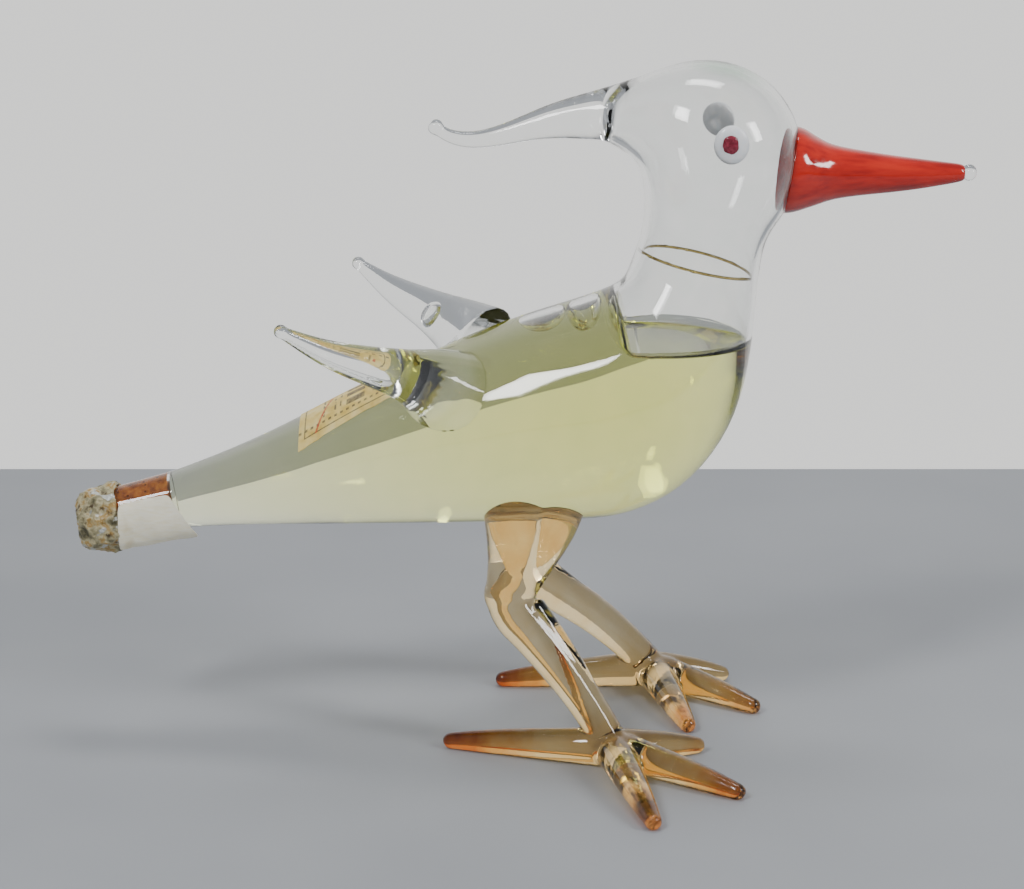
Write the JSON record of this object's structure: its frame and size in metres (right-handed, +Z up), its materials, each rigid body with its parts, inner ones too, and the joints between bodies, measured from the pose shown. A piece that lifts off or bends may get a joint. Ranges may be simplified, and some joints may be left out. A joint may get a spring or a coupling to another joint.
{
  "type": "figural liqueur bottle",
  "caption": "Blown glass bird-shaped miniature liqueur bottle on glass legs, corked at the tail and partly filled.",
  "frame": {"origin": "on the surface the bird stands on, in the middle plane of the bottle, halfway between the seal at the tail and the tip of the beak", "axes": "+X the way the beak points, +Y the bird's left, +Z up"},
  "size_m": [0.1597, 0.0769, 0.1218],
  "materials": {
    "clear_glass": "fire-polished, blown soda glass",
    "amber_stained_glass": "fire-polished, clear rod stained amber towards the toes",
    "red_glass": "glossy opaque red glass",
    "liqueur": "clear pale yellow liquid",
    "dried_liqueur": "sticky yellow-brown film",
    "white_enamel": "glossy fused enamel",
    "maroon_enamel": "glossy fused enamel",
    "cork": "bare cork",
    "seal": "crumpled foil and paper with remains of wax",
    "cream_paper": "matte aged paper",
    "gold_paper": "printed gold paper"
  },
  "bodies": {
    "bottle": {"beak": "red_glass", "beak_tip": "clear_glass", "crest": "clear_glass", "crown_patch": "clear_glass", "dried_ring": "dried_liqueur", "eye_white_left": "white_enamel", "eye_white_right": "white_enamel", "glass_envelope": "clear_glass", "label": "gold_paper", "liqueur": "liqueur", "paper_strip": "cream_paper", "pupil_left": "maroon_enamel", "pupil_right": "maroon_enamel", "shin_left": "amber_stained_glass", "shin_right": "amber_stained_glass", "thigh_left": "amber_stained_glass", "thigh_right": "amber_stained_glass", "toe_hind_left": "amber_stained_glass", "toe_hind_right": "amber_stained_glass", "toe_inner_left": "amber_stained_glass", "toe_inner_right": "amber_stained_glass", "toe_middle_left": "amber_stained_glass", "toe_middle_right": "amber_stained_glass", "toe_outer_left": "amber_stained_glass", "toe_outer_right": "amber_stained_glass", "wing_left": "clear_glass", "wing_right": "clear_glass"},
    "cork": {"cork": "cork"},
    "seal": {"seal_cap": "seal"}
  },
  "joints": [
    {"name": "cork_slide", "type": "slide", "parent": "bottle", "child": "cork", "axis": [-0.9744, 0, -0.225], "range_m": [0, 0.0142]},
    {"name": "seal_slide", "type": "slide", "parent": "cork", "child": "seal", "axis": [-0.9744, 0, -0.225], "range_m": [0, 0.008]}
  ]
}
